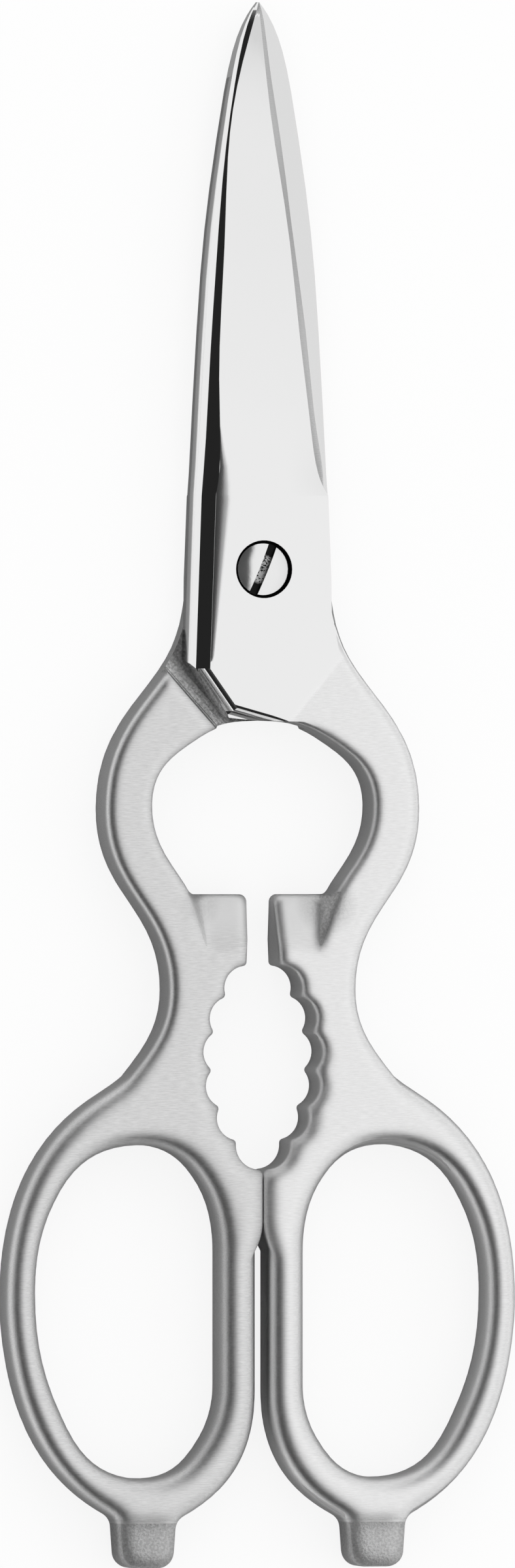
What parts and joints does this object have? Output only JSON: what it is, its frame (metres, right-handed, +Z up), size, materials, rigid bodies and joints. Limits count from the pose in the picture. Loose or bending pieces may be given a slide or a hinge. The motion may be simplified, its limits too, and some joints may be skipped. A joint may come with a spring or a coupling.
{
  "type": "kitchen shears",
  "caption": "All-metal kitchen shears whose forged halves turn on a slotted screw and close to form a ring opener, a toothed nut cracker and finger loops.",
  "frame": {"origin": "bottom centre of the closed shears as they lie flat", "axes": "+Y along the shears towards the blade tips, +Z up out of the face that shows the screw's head, +X towards the front half's finger loop"},
  "size_m": [0.0668, 0.2, 0.007],
  "materials": {
    "forged_steel": "stainless steel, mirror polished on the blades and satin on the handles",
    "screw_steel": "polished stainless steel"
  },
  "bodies": {
    "back": {"back_half": "forged_steel", "pivot_screw": "screw_steel"},
    "front": {"front_half": "forged_steel"}
  },
  "joints": [
    {"name": "pivot", "type": "hinge", "parent": "back", "child": "front", "pos_m": [0, 0.0275, 0.0035], "axis": [0, 0, 1], "range_deg": [0, 98]}
  ]
}
